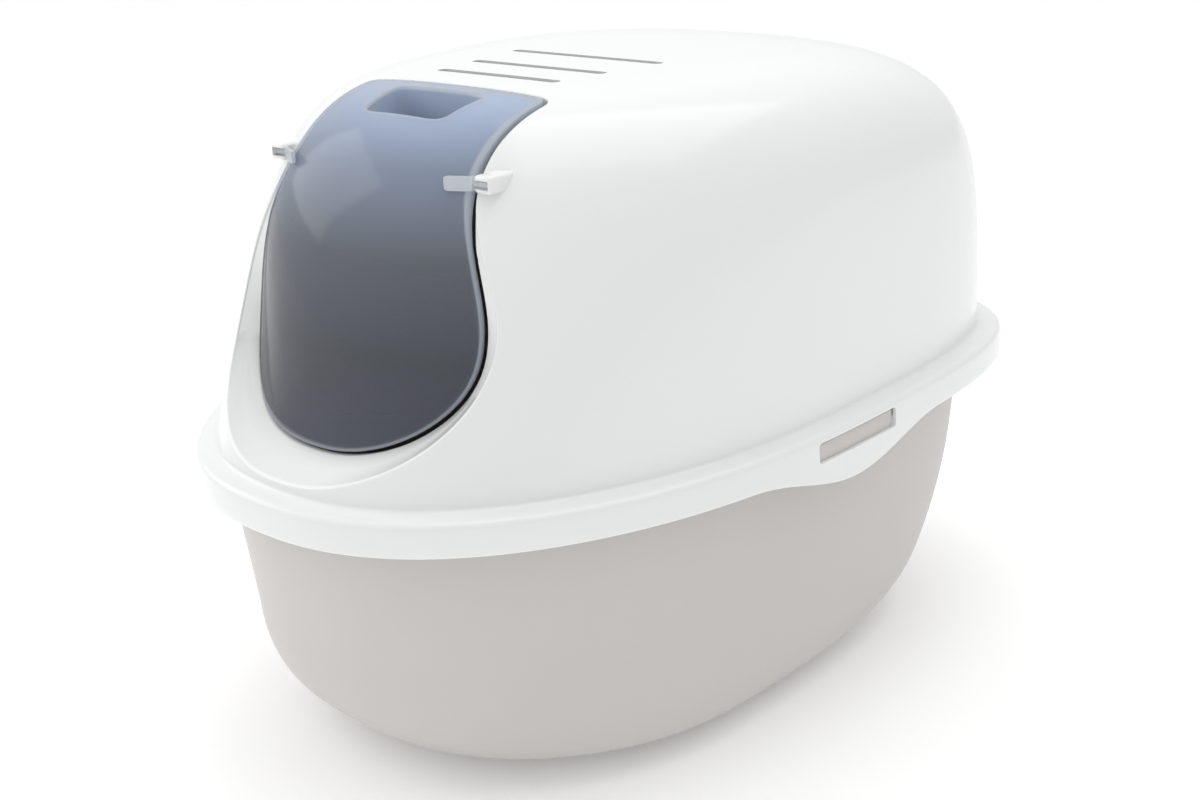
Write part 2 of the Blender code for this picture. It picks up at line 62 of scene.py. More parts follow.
def softbox(name, place, target, size, power, colour=(1.0, 1.0, 1.0)):
    data = bpy.data.lights.new(name, "AREA")
    data.shape = "RECTANGLE"
    data.size, data.size_y = size
    data.energy = power
    data.color = colour
    lamp = bpy.data.objects.new(name, data)
    bpy.context.collection.objects.link(lamp)
    aim(lamp, place, target)
    return lamp


class Signal:
    """A shader socket. Sums, differences and products on it add Math nodes."""

    def __init__(self, tree, socket):
        self.tree = tree
        self.socket = socket

    def node(self, kind, values, output=0, stops=None, **settings):
        """Adds any other node: its settings first, then the values or links of its sockets."""
        made = self.tree.nodes.new(kind)
        for name, value in settings.items():
            setattr(made, name, value)
        if stops:
            ramp = made.color_ramp
            while len(ramp.elements) < len(stops):
                ramp.elements.new(0.5)
            for element, (place, colour) in zip(ramp.elements, stops):
                element.position = place
                element.color = (*colour, 1.0)
        for name, value in values.items():
            if isinstance(value, Signal):
                self.tree.links.new(value.socket, made.inputs[name])
            else:
                made.inputs[name].default_value = value
        return Signal(self.tree, made.outputs[output])

    def maths(self, operation, first, second=0.0):
        return self.node("ShaderNodeMath", {0: first, 1: second}, operation=operation)

    def __add__(self, other):
        return self.maths("ADD", self, other)

    def __sub__(self, other):
        return self.maths("SUBTRACT", self, other)

    def __rsub__(self, other):
        return self.maths("SUBTRACT", other, self)

    def __mul__(self, other):
        return self.maths("MULTIPLY", self, other)

    def __truediv__(self, other):
        return self.maths("DIVIDE", self, other)

    __radd__ = __add__
    __rmul__ = __mul__

    def clamped(self):
        return self.node("ShaderNodeClamp", {"Value": self})

    def noise(self, scale, detail=2.0, roughness=0.5):
        values = {"Vector": self, "Scale": scale, "Detail": detail, "Roughness": roughness}
        return self.node("ShaderNodeTexNoise", values)

    def mixed(self, low, high):
        """Colour from low to high as this value goes from 0 to 1."""
        return self.node("ShaderNodeMix", {0: self, 6: low, 7: high}, output=2, data_type="RGBA")

    def bump(self, strength, distance):
        return self.node("ShaderNodeBump", {"Strength": strength, "Distance": distance, "Height": self})


def new_material(name, constants):
    """An empty finish: its shader with constants on its own sockets, and its place on the piece."""
    material = bpy.data.materials.new(name)
    material.use_nodes = True
    tree = material.node_tree
    shader = tree.nodes["Principled BSDF"]
    for socket, value in constants.items():
        shader.inputs[socket].default_value = value
    place = Signal(tree, tree.nodes.new("ShaderNodeTexCoord").outputs["Object"])
    return material, shader, place


def feed(shader, socket, signal):
    signal.tree.links.new(signal.socket, shader.inputs[socket])


CAMERA_TARGET = Vector((0.0113, -0.0014, 0.1721))
CAMERA_TURN, CAMERA_RISE, CAMERA_ROLL = math.radians(41.59), math.radians(20.57), math.radians(-2.51)
CAMERA_DISTANCE = 1.0073
view = Vector((math.sin(CAMERA_TURN) * math.cos(CAMERA_RISE),
               -math.cos(CAMERA_TURN) * math.cos(CAMERA_RISE), math.sin(CAMERA_RISE)))
camera = bpy.data.objects.new("camera", bpy.data.cameras.new("camera"))
camera.data.sensor_width = 36.0
camera.data.lens = 46.425
camera.data.shift_y = -0.0089
camera.data.clip_start = 0.05
bpy.context.collection.objects.link(camera)
aim(camera, CAMERA_TARGET + view * CAMERA_DISTANCE, CAMERA_TARGET, CAMERA_ROLL)
bpy.context.scene.camera = camera
bpy.context.scene.view_settings.view_transform = "Standard"

sky = bpy.data.worlds.new("sky")
sky.use_nodes = True
backdrop = sky.node_tree.nodes["Background"]
heading = Signal(sky.node_tree, sky.node_tree.nodes.new("ShaderNodeTexCoord").outputs["Generated"])
SKY_BRIGHT_SIDE = (-0.62, 0.05, 0.78)
SKY_DARK, SKY_BRIGHT = (0.33, 0.335, 0.33, 1.0), (1.27, 1.275, 1.27, 1.0)
brighter = heading.node("ShaderNodeVectorMath", {0: heading, 1: SKY_BRIGHT_SIDE}, output=1,
                        operation="DOT_PRODUCT")
sky_colour = (brighter * 0.5 + 0.5).clamped().mixed(SKY_DARK, SKY_BRIGHT)
sky.node_tree.links.new(sky_colour.socket, backdrop.inputs["Color"])
backdrop.inputs["Strength"].default_value = 0.85
bpy.context.scene.world = sky
softbox("lamp_above", (0.25, 0.25, 1.75), (0.0, 0.0, 0.2), (1.7, 1.4), 7.5)
softbox("lamp_left", (-1.6, -0.6, 1.1), (0.0, 0.0, 0.2), (1.2, 1.0), 4.0)

FLOOR_REACH, FLOOR_DROP = 6.0, 0.0004
bm = bmesh.new()
bmesh.ops.create_grid(bm, x_segments=8, y_segments=8, size=FLOOR_REACH)
bmesh.ops.translate(bm, verts=bm.verts, vec=(0.0, 0.0, -FLOOR_DROP))
floor_mesh = bpy.data.meshes.new("floor")
bm.to_mesh(floor_mesh)
bm.free()
floor = bpy.data.objects.new("floor", floor_mesh)
bpy.context.collection.objects.link(floor)
floor_paint, shader, place = new_material("pale_floor", {
    "Roughness": 0.85, "Specular IOR Level": 0.1,
    "Emission Color": (1.0, 1.0, 1.0, 1.0), "Emission Strength": 0.12})
feed(shader, "Base Color", place.noise(1.5).mixed((0.97, 0.97, 0.975, 1.0), (0.985, 0.985, 0.985, 1.0)))
floor_mesh.materials.append(floor_paint)


# Tray: the deep tub that holds the litter, one satin warm-grey moulding with a rounded underside on a low
# foot. Its rolled rim is hidden in the hood's skirt, with a notch on each side for the latch.
LENGTH, WIDTH, HEIGHT = 0.538, 0.401, 0.384
PLAN_MIDDLE = 0.57
FRONT_POWER, BACK_POWER, TUB_POWER = 2.3, 4.3, 3.6
PLAN_TAPER = 0.22
ROUND_STEPS = 256
TURNS = np.arange(ROUND_STEPS) * math.tau / ROUND_STEPS
RIM_TOP = 0.1868
RIM_INSET = 0.0042
FLANGE = 0.0025
TUB_WALL = 0.003
TUB_INSET = 0.0165
TUB_SIDES = ((0.06, 0.045), (0.11, 0.090), (0.11, 0.120))
NOTCH_DEPTH, NOTCH_DROP, NOTCH_SPARE = 0.0132, 0.022, 0.0015
PAST = 0.01
LATCH_Y = 0.012
WINDOW_HALF = 0.0375
CHIN_LOW, CHIN_CREASE, CHIN_HIGH, CHIN_DEPTH = 0.004, 0.0185, 0.085, 0.0085
CHIN_CENTRE = np.array((0.0, 0.04))
CHIN_TURN, CHIN_FADE = 0.35, 0.45
FOOT_HEIGHT, FOOT_DRAFT = 0.0035, 0.985


def eased(value):
    """Smooth step from 0 to 1."""
    t = np.clip(value, 0.0, 1.0)
    return t * t * (3.0 - 2.0 * t)


def plan_outline(half_width, y_front, y_back, z, power=BACK_POWER, turns=TURNS):
    """Outline seen from above: nearly elliptical at the front, boxier behind, a little narrower in front."""
    c, s = np.cos(turns), np.sin(turns)
    middle = y_front + (y_back - y_front) * PLAN_MIDDLE
    depth = np.where(s < 0, middle - y_front, y_back - middle)
    powers = FRONT_POWER + (power - FRONT_POWER) * ((1.0 + s) / 2.0) ** 2
    radius = (np.abs(c / half_width) ** powers + np.abs(s / depth) ** powers) ** (-1.0 / powers)
    y = middle + radius * s
    x = radius * c * (1.0 + PLAN_TAPER * (y - middle))
    return np.stack([x, y, np.zeros_like(x) + z], axis=1)


def inset_outline(inset, z):
    return plan_outline(WIDTH / 2 - inset, -LENGTH / 2 + inset, LENGTH / 2 - inset, z)


def drawn_body(rings, close=("fill", "fill")):
    """One closed body: a circle extruded ring by ring, with every corner set on its outline."""
    bm = bmesh.new()
    place = bm.verts.layers.int.new("place")
    ring = bmesh.ops.create_circle(bm, segments=len(rings[0]), radius=1.0)["verts"]
    for index, corner in enumerate(ring):
        corner[place] = index
    edges = bm.edges[:]
    first = edges
    for step, outline in enumerate(rings):
        if step:
            grown = bmesh.ops.extrude_edge_only(bm, edges=edges)["geom"]
            ring = [item for item in grown if isinstance(item, bmesh.types.BMVert)]
            edges = [item for item in grown if isinstance(item, bmesh.types.BMEdge)]
        for corner in ring:
            corner.co = outline[corner[place]]
    for way, end in zip(close, (first, edges)):
        if way == "fill":
            bmesh.ops.contextual_create(bm, geom=end)
    bm.verts.layers.int.remove(place)
    bmesh.ops.remove_doubles(bm, verts=bm.verts, dist=1e-6)
    bmesh.ops.recalc_face_normals(bm, faces=bm.faces)
    return bm


def piece(name, bm, material, sharp=35.0):
    mesh = bpy.data.meshes.new(name)
    bm.to_mesh(mesh)
    bm.free()
    if material:
        mesh.materials.append(material)
    mesh.shade_smooth()
    mesh.set_sharp_from_angle(angle=math.radians(sharp))
    item = bpy.data.objects.new(name, mesh)
    bpy.context.collection.objects.link(item)
    return item


def carved(item, tools, operation, sharp=35.0):
    """Adds or cuts away other bodies, and keeps the result as the piece's own mesh."""
    helpers = [piece("tool", bm, None) for bm in tools]
    for helper in helpers:
        change = item.modifiers.new("change", "BOOLEAN")
        change.operation = operation
        change.solver = "EXACT"
        change.object = helper
    graph = bpy.context.evaluated_depsgraph_get()
    graph.update()
    mesh = bpy.data.meshes.new_from_object(item.evaluated_get(graph))
    old = item.data
    item.modifiers.clear()
    item.data = mesh
    mesh.name = item.name
    bpy.data.meshes.remove(old)
    for helper in helpers:
        bpy.data.meshes.remove(helper.data)
    mesh.shade_smooth()
    mesh.set_sharp_from_angle(angle=math.radians(sharp))
    return item


def block(low, high, bevel=0.0, steps=3):
    bm = bmesh.new()
    bmesh.ops.create_cube(bm, size=1.0)
    low, high = Vector(low), Vector(high)
    bmesh.ops.scale(bm, vec=high - low, verts=bm.verts)
    bmesh.ops.translate(bm, vec=(low + high) / 2, verts=bm.verts)
    if bevel:
        bmesh.ops.bevel(bm, geom=bm.edges[:], offset=bevel, segments=steps, profile=0.5,
                        affect="EDGES", material=-1)
    return bm


def sided(side, near, far, y_low, y_high, z_low, z_high):
    """Corners of a block that lies between two distances from the middle, on one side."""
    a, b = sorted((side * near, side * far))
    return (a, y_low, z_low), (b, y_high, z_high)


def tub_size(z, wall):
    """Half width, front and back of the tub at a height, from the slope and bottom radius of each."""
    drop = RIM_TOP - z
    insets = []
    for slope, radius in TUB_SIDES:
        bend = radius - wall
        height = z - wall
        inset = TUB_INSET + wall + slope * drop
        if height < bend:
            inset += bend - math.sqrt(max(bend ** 2 - (bend - height) ** 2, 0.0))
        insets.append(inset)
    return WIDTH / 2 - insets[0], -LENGTH / 2 + insets[1], LENGTH / 2 - insets[2]


def chin(outline, z):
    """Pushes the lower front out to the crease that ends the front panel, above the foot."""
    if not CHIN_LOW < z < CHIN_HIGH:
        return outline
    if z < CHIN_CREASE:
        share = (z - CHIN_LOW) / (CHIN_CREASE - CHIN_LOW)
    else:
        share = 1.0 - (z - CHIN_CREASE) / (CHIN_HIGH - CHIN_CREASE)
    away = outline[:, :2] - CHIN_CENTRE
    away /= np.linalg.norm(away, axis=1)[:, None]
    facing = eased((-away[:, 1] - CHIN_TURN) / CHIN_FADE)
    outline[:, :2] += away * (CHIN_DEPTH * share * facing)[:, None]
    return outline


foot = plan_outline(*tub_size(0.0, 0.0), 0.0, TUB_POWER)
foot_top = foot.copy()
foot_top[:, 2] = FOOT_HEIGHT
outer = [foot * (FOOT_DRAFT, FOOT_DRAFT, 1.0), foot, foot_top]
near_foot = [0.0045, 0.007, 0.010, 0.013, 0.016, 0.018, 0.019, 0.021, 0.024, 0.028]
for z in near_foot + list(np.arange(0.033, 0.172, 0.006)):
    outer.append(chin(plan_outline(*tub_size(z, 0.0), z, TUB_POWER), z))
for inset, z in ((TUB_INSET, RIM_TOP - 0.012), (TUB_INSET - 0.001, RIM_TOP - FLANGE - 0.001),
                 (TUB_INSET - 0.002, RIM_TOP - FLANGE), (RIM_INSET + FLANGE, RIM_TOP - FLANGE),
                 (RIM_INSET + FLANGE, RIM_TOP - 0.008), (RIM_INSET, RIM_TOP - 0.008),
                 (RIM_INSET, RIM_TOP - 0.0012), (RIM_INSET + 0.0004, RIM_TOP - 0.0004),
                 (RIM_INSET + 0.0012, RIM_TOP)):
    outer.append(inset_outline(inset, z))
inner = [inset_outline(TUB_INSET + TUB_WALL - 0.002, RIM_TOP),
         inset_outline(TUB_INSET + TUB_WALL, RIM_TOP - 0.003)]
for z in np.linspace(0.17, TUB_WALL + 0.0001, 30):
    inner.append(plan_outline(*tub_size(z, TUB_WALL), z, TUB_POWER))

grey, shader, place = new_material("warm_grey_moulding", {"IOR": 1.49, "Subsurface Weight": 0.0})
cloud = place.noise(9.0, 3.0)
feed(shader, "Base Color", cloud.mixed((0.585, 0.560, 0.540, 1.0), (0.625, 0.602, 0.582, 1.0)))
feed(shader, "Roughness", cloud * 0.08 + 0.40)
feed(shader, "Normal", (place.noise(900.0, 2.0) + place.noise(260.0) * 0.6).bump(0.10, 0.0004))

tray = piece("tray_tub", drawn_body(outer + inner), grey, 40.0)
notch_half = WINDOW_HALF + NOTCH_SPARE
notches = [block(*sided(side, WIDTH / 2 - NOTCH_DEPTH, WIDTH / 2 + PAST, LATCH_Y - notch_half,
                        LATCH_Y + notch_half, RIM_TOP - NOTCH_DROP, RIM_TOP + PAST)) for side in (-1, 1)]
carved(tray, notches, "DIFFERENCE", 40.0)
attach(tray, "tray")
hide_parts("tray")


# Latches: two press tabs of the tray's own grey plastic, one in each window of the skirt. Each has a
# rounded top edge and stands on a foot that reaches in to the tray's wall.
WINDOW_LOW, WINDOW_HIGH = 0.1735, 0.1858
LATCH_INSET, LATCH_THICK, LATCH_GAP = 0.0022, 0.0022, 0.0012
SIDE_TURNS = np.linspace(-1.2, 1.2, 4001)
side_line = plan_outline(WIDTH / 2, -LENGTH / 2, LENGTH / 2, 0.0, BACK_POWER, SIDE_TURNS)


def skirt_x(y):
    """Half width of the skirt at y."""
    return float(np.interp(y, side_line[:, 1], side_line[:, 0]))


LATCH_HALF = WINDOW_HALF - LATCH_GAP
LATCH_LIFT = 0.005
LATCH_FOOT_REACH, LATCH_FOOT_HALF, LATCH_FOOT_OVERLAP = 0.0106, 0.001, 0.0006
LATCH_CUTS = 16

for name, side in (("left", -1), ("right", 1)):
    bm = block((LATCH_INSET, LATCH_Y - LATCH_HALF, WINDOW_LOW - LATCH_FOOT_HALF),
               (LATCH_INSET + LATCH_THICK, LATCH_Y + LATCH_HALF, WINDOW_HIGH - LATCH_GAP))
    ends = [edge for edge in bm.edges if abs(edge.verts[0].co.z - edge.verts[1].co.z) > LATCH_LIFT]
    bmesh.ops.bevel(bm, geom=ends, offset=0.0008, segments=3, profile=0.5, affect="EDGES", material=-1)
    top = [edge for edge in bm.edges if all(v.co.z > WINDOW_LOW + LATCH_LIFT for v in edge.verts)]
    bmesh.ops.bevel(bm, geom=top, offset=0.0010, segments=4, profile=0.5, affect="EDGES", material=-1)
    body = piece(f"latch_tab_{name}", bm, grey)
    foot_low = (LATCH_INSET + LATCH_THICK - LATCH_FOOT_OVERLAP, LATCH_Y - LATCH_HALF + 0.001,
                WINDOW_LOW - LATCH_FOOT_HALF)
    foot_high = (LATCH_FOOT_REACH, LATCH_Y + LATCH_HALF - 0.001, WINDOW_LOW + LATCH_FOOT_HALF)
    carved(body, [block(foot_low, foot_high)], "UNION")
    bm = bmesh.new()
    bm.from_mesh(body.data)
    for step in range(1, LATCH_CUTS):
        y = LATCH_Y + LATCH_HALF * (step * 2.0 / LATCH_CUTS - 1.0)
        bmesh.ops.bisect_plane(bm, geom=bm.verts[:] + bm.edges[:] + bm.faces[:], plane_co=(0.0, y, 0.0),
                               plane_no=(0.0, 1.0, 0.0))
    for corner in bm.verts:
        corner.co.x = side * (skirt_x(corner.co.y) - corner.co.x)
    bmesh.ops.recalc_face_normals(bm, faces=bm.faces)
    bm.to_mesh(body.data)
    bm.free()
    body.data.shade_smooth()
    body.data.set_sharp_from_angle(angle=math.radians(35.0))
    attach(body, f"latch_{name}")
    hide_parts(f"latch_{name}")


# Hood: one thin glossy white moulding. A skirt laps over the tray's rim, a narrow ledge runs round it,
# and the dome above has a recessed door opening, three vent slots and two bosses for the hinge pins.
WALL = 0.0025
SKIRT_TOP, SKIRT_BOTTOM, LEDGE = 0.190, 0.171, 0.014
DOME_BASE, DOME_POWER, DOME_CENTRE_Y = 0.194, 5.6, -0.03
FRONT_LEAN, BACK_LEAN = 0.37, 0.01
SKIRT_DIP, SKIRT_DIP_HALF = 0.016, 0.09
OPENING_BOTTOM, OPENING_WIDEST, OPENING_TOP = 0.2055, 0.2705, 0.367
OPENING_HALF, OPENING_NARROWING, OPENING_LOW_POWER = 0.0936, 0.0203, 2.3
OPENING_REAR_Y = -0.0975
HINGE_Y, HINGE_Z = -0.1625, 0.349
BROW_RISE = 0.028
REVEAL_DEPTH, REVEAL_GROWTH, GROWTH_START, GROWTH_SPAN = 0.022, 0.009, 0.004, 0.08
TOP_ANGLE = 89.2


def dipped(outline):
    """Lowers the skirt's edge in a soft bulge under each latch window."""
    reach = np.abs(outline[:, 1] - LATCH_Y) / SKIRT_DIP_HALF
    beside = (np.abs(outline[:, 0]) > WIDTH / 4) & (reach < 1.0)
    outline[:, 2] -= np.where(beside, SKIRT_DIP * np.cos(np.clip(reach, 0.0, 1.0) * math.pi / 2) ** 2, 0.0)
    return outline


def dome_size(rise, wall=0.0):
    """Half width, front, back and boxiness of the dome where it has risen by a share of its height."""
    keep = np.maximum(1.0 - rise ** DOME_POWER, 0.0) ** (1.0 / DOME_POWER)
    front = LENGTH / 2 - LEDGE - wall + DOME_CENTRE_Y
    back = LENGTH / 2 - LEDGE - wall - DOME_CENTRE_Y
    return ((WIDTH / 2 - LEDGE - wall) * keep, DOME_CENTRE_Y - front * (1 - FRONT_LEAN * rise) * keep,
            DOME_CENTRE_Y + back * (1 - BACK_LEAN * rise) * keep, BACK_POWER - 2.0 * rise ** 2)


def dome_outline(rise, wall=0.0):
    half_width, y_front, y_back, power = dome_size(rise, wall)
    return plan_outline(half_width, y_front, y_back, DOME_BASE + (HEIGHT - wall - DOME_BASE) * rise, power)


def dome_rises(steps):
    """Shares of the dome's height for its rings, closest together at the top."""
    angles = np.radians(TOP_ANGLE) * (np.arange(steps) + 1) / steps
    c, s = np.cos(angles), np.sin(angles)
    return s / (c ** DOME_POWER + s ** DOME_POWER) ** (1.0 / DOME_POWER)


def dome_front_y(x, rise):
    """Where the dome's front is at a distance x from the middle."""
    half_width, y_front, y_back, power = dome_size(rise)
    middle = y_front + (y_back - y_front) * PLAN_MIDDLE
    depth = np.maximum(middle - y_front, 1e-6)
    y = middle - 0.9 * depth
    for _ in range(14):
        straight = np.abs(x) / (1.0 + PLAN_TAPER * (y - middle))
        s = (y - middle) / np.hypot(y - middle, straight)
        powers = FRONT_POWER + (power - FRONT_POWER) * ((1.0 + s) / 2.0) ** 2
        share = np.clip(straight / np.maximum(half_width, 1e-6), 0.0, 0.999999)
        y = middle - depth * (1.0 - share ** powers) ** (1.0 / powers)
    return y


def rise_at(z):
    return (z - DOME_BASE) / (HEIGHT - DOME_BASE)


def reveal(z):
    """How far the flap lies behind the hood's surface: level with it at the hinge, deepest at the bottom."""
    return REVEAL_DEPTH * eased((HINGE_Z - z) / (HINGE_Z - OPENING_BOTTOM))


def reveal_growth(z):
    """How much wider the recess is at the hood's surface than at the flap."""
    return REVEAL_GROWTH * eased((HINGE_Z - GROWTH_START - z) / GROWTH_SPAN)


# The door's middle line runs up the front and over the brow; every point near the door is told by its
# distance x from the middle and its walk s along that line, and lies on a plane across the line.
BARELY_BELOW_TOP = 0.99999
line_start = rise_at(OPENING_BOTTOM) - 0.06
line_rise = line_start + (1.0 - line_start) * (1.0 - (1.0 - np.linspace(0, 1, 1200)) ** 2.5)
line_rise = np.minimum(line_rise, BARELY_BELOW_TOP)
line_y = dome_front_y(np.zeros_like(line_rise), line_rise)
line_z = DOME_BASE + (HEIGHT - DOME_BASE) * line_rise
line_s = np.concatenate([[0.0], np.cumsum(np.hypot(np.diff(line_y), np.diff(line_z)))])
S_BOTTOM = float(np.interp(OPENING_BOTTOM, line_z, line_s))
S_WIDEST = float(np.interp(OPENING_WIDEST, line_z, line_s))
S_REAR = float(np.interp(OPENING_REAR_Y, line_y, line_s))


def door_points(x, s, depth=0.0, sunk=True):
    """Points on the dome over the door, sunk by the reveal, and then a depth further in."""
    x = np.asarray(x, float)
    middle_y, middle_z = np.interp(s, line_s, line_y), np.interp(s, line_s, line_z)
    turn = math.pi / 2 * eased((middle_z - HINGE_Z) / BROW_RISE)
    along_y, along_z = np.sin(turn), np.cos(turn)
    low, high = np.zeros_like(x), np.full_like(x, BARELY_BELOW_TOP)
    for _ in range(30):
        rise = (low + high) / 2
        y = dome_front_y(x, rise)
        z = DOME_BASE + (HEIGHT - DOME_BASE) * rise
        short = (y - middle_y) * along_y + (z - middle_z) * along_z < 0.0
        low, high = np.where(short, rise, low), np.where(short, high, rise)
    inward = (reveal(z) if sunk else 0.0) + depth
    return np.stack([x, y + along_z * inward, z - along_y * inward], axis=1)


def opening_half(z):
    """Half width of the opening above its widest height."""
    return OPENING_HALF - OPENING_NARROWING * eased((z - OPENING_WIDEST) / (OPENING_TOP - OPENING_WIDEST))


REAR_CORNER = 0.009
upper_s = np.linspace(S_WIDEST, S_REAR, 400)
upper_half = np.full(400, OPENING_HALF)
for _ in range(5):
    upper_half = opening_half(door_points(upper_half, upper_s, 0.0, False)[:, 2])


def door_outline(steps=240):
    """The opening's edge as (x, s), from the bottom's middle up the right side and round to the left."""
    points = []
    for angle in np.linspace(0.0, math.pi / 2, 60):
        x = OPENING_HALF * math.sin(angle) ** (2.0 / OPENING_LOW_POWER)
        z = OPENING_WIDEST - (OPENING_WIDEST - OPENING_BOTTOM) * math.cos(angle) ** (2.0 / OPENING_LOW_POWER)
        points.append((x, float(np.interp(z, line_z, line_s))))
    for s in np.linspace(S_WIDEST, S_REAR - REAR_CORNER, 120)[1:]:
        points.append((float(np.interp(s, upper_s, upper_half)), s))
    corner_x = points[-1][0] - REAR_CORNER
    for angle in np.linspace(0.0, math.pi / 2, 16)[1:]:
        points.append((corner_x + REAR_CORNER * math.cos(angle),
                       S_REAR - REAR_CORNER + REAR_CORNER * math.sin(angle)))
    points += [(x, S_REAR) for x in np.linspace(corner_x, 0.0, 30)[1:]]
    half = np.array(points)
    walk = np.concatenate([[0.0], np.cumsum(np.hypot(*np.diff(half, axis=0).T))])
    even = np.linspace(0.0, walk[-1], steps // 2 + 1)
    right = np.stack([np.interp(even, walk, half[:, 0]), np.interp(even, walk, half[:, 1])], axis=1)
    left = right[-2:0:-1] * (-1.0, 1.0)
    return np.concatenate([right, left])


outline = door_outline()
ahead = np.roll(outline, -1, axis=0) - np.roll(outline, 1, axis=0)
outward = np.stack([ahead[:, 1], -ahead[:, 0]], axis=1) / np.linalg.norm(ahead, axis=1)[:, None]
edge_z = np.interp(outline[:, 1], line_s, line_z)
SPINE_END = 0.055
spine_s = np.clip(outline[:, 1], S_BOTTOM + SPINE_END, S_REAR - SPINE_END)
spine = np.stack([np.zeros(len(outline)), spine_s], axis=1)


def door_ring(grow, depth, share=1.0, sunk=False):
    """A ring round the opening: grown outwards, set a depth in, and drawn in to the middle by share."""
    flat = outline + outward * (np.zeros(len(outline)) + grow)[:, None]
    flat = spine + (flat - spine) * share
    level = float(np.mean(depth))
    return door_points(flat[:, 0], flat[:, 1], level + (depth - level) * share, sunk)


growth = reveal_growth(edge_z)
seat = reveal(edge_z)
lip = 0.0009 + 0.0012 * eased((HINGE_Z - edge_z) / 0.03)
CUTTER_OUT, CUTTER_IN = 0.035, 0.022
LIP_FRONT, COLLAR_FRONT, COLLAR_BACK = 0.004, 0.0013, 0.0042
opening_rings = [door_ring(0.0, -CUTTER_OUT, 0.0), door_ring(growth + lip * 1.25, -LIP_FRONT)]
for angle in np.radians((14, 30, 48, 66, 80, 90)):
    opening_rings.append(door_ring(growth + lip * (1.0 - math.sin(angle)), lip * (1.0 - math.cos(angle))))
for share in (0.5, 1.0):
    opening_rings.append(door_ring(growth * (1.0 - share), lip + np.maximum(seat - lip, 0.0005) * share))
opening_rings += [door_ring(0.0, seat + CUTTER_IN), door_ring(0.0, seat + CUTTER_IN, 0.0)]
collar_rings = [door_ring(0.0, COLLAR_FRONT, 0.0), door_ring(growth + WALL, COLLAR_FRONT),
                door_ring(WALL, seat + COLLAR_BACK), door_ring(WALL, seat + COLLAR_BACK, 0.0)]


def slot_block(y, half, width, low, high):
    """Cutter for a vent: a flat slot with rounded ends."""
    bm = block((-half, y - width / 2, low), (half, y + width / 2, high))
    upright = [edge for edge in bm.edges if abs(edge.verts[0].co.z - edge.verts[1].co.z) > 0.01]
    bmesh.ops.bevel(bm, geom=upright, offset=width * 0.45, segments=4, profile=0.5, affect="EDGES",
                    material=-1)
    return bm


hood_rings = [dome_outline(rise) for rise in dome_rises(56)[::-1]]
for inset, z in ((LEDGE, DOME_BASE), (LEDGE - 0.0002, 0.1932), (LEDGE - 0.0007, 0.1924),
                 (LEDGE - 0.0016, 0.1917), (LEDGE - 0.003, 0.1912), (LEDGE - 0.006, 0.1908),
                 (0.0050, 0.1903), (0.0036, 0.1900), (0.0025, 0.1895), (0.0016, 0.1887), (0.0010, 0.1878),
                 (0.0006, 0.1865), (0.0003, 0.182)):
    hood_rings.append(inset_outline(inset, z))
hood_rings.append(inset_outline(0.0, SKIRT_BOTTOM + 0.006))
hood_rings += [dipped(inset_outline(inset, SKIRT_BOTTOM + up)) for inset, up in
               ((0.0, 0.0016), (0.0003, 0.0006), (0.0009, 0.0), (WALL - 0.0006, 0.0), (WALL, 0.0006))]
hood_rings += [inset_outline(WALL, SKIRT_TOP - WALL - 0.0006),
               inset_outline(LEDGE + WALL - 0.001, SKIRT_TOP - WALL), inset_outline(LEDGE + WALL, DOME_BASE)]
hood_rings += [dome_outline(rise, WALL) for rise in dome_rises(40)]

white, shader, place = new_material("white_moulding", {"IOR": 1.49, "Coat Roughness": 0.08, "Coat IOR": 1.45})
cloud = place.noise(7.0, 3.0)
feed(shader, "Base Color", cloud.mixed((0.835, 0.848, 0.842, 1.0), (0.858, 0.868, 0.864, 1.0)))
feed(shader, "Roughness", cloud * 0.07 + 0.19)
feed(shader, "Coat Weight", cloud * 0.1 + 0.25)
feed(shader, "Normal", (place.noise(420.0, 2.0) + place.noise(60.0) * 1.5).bump(0.035, 0.0005))

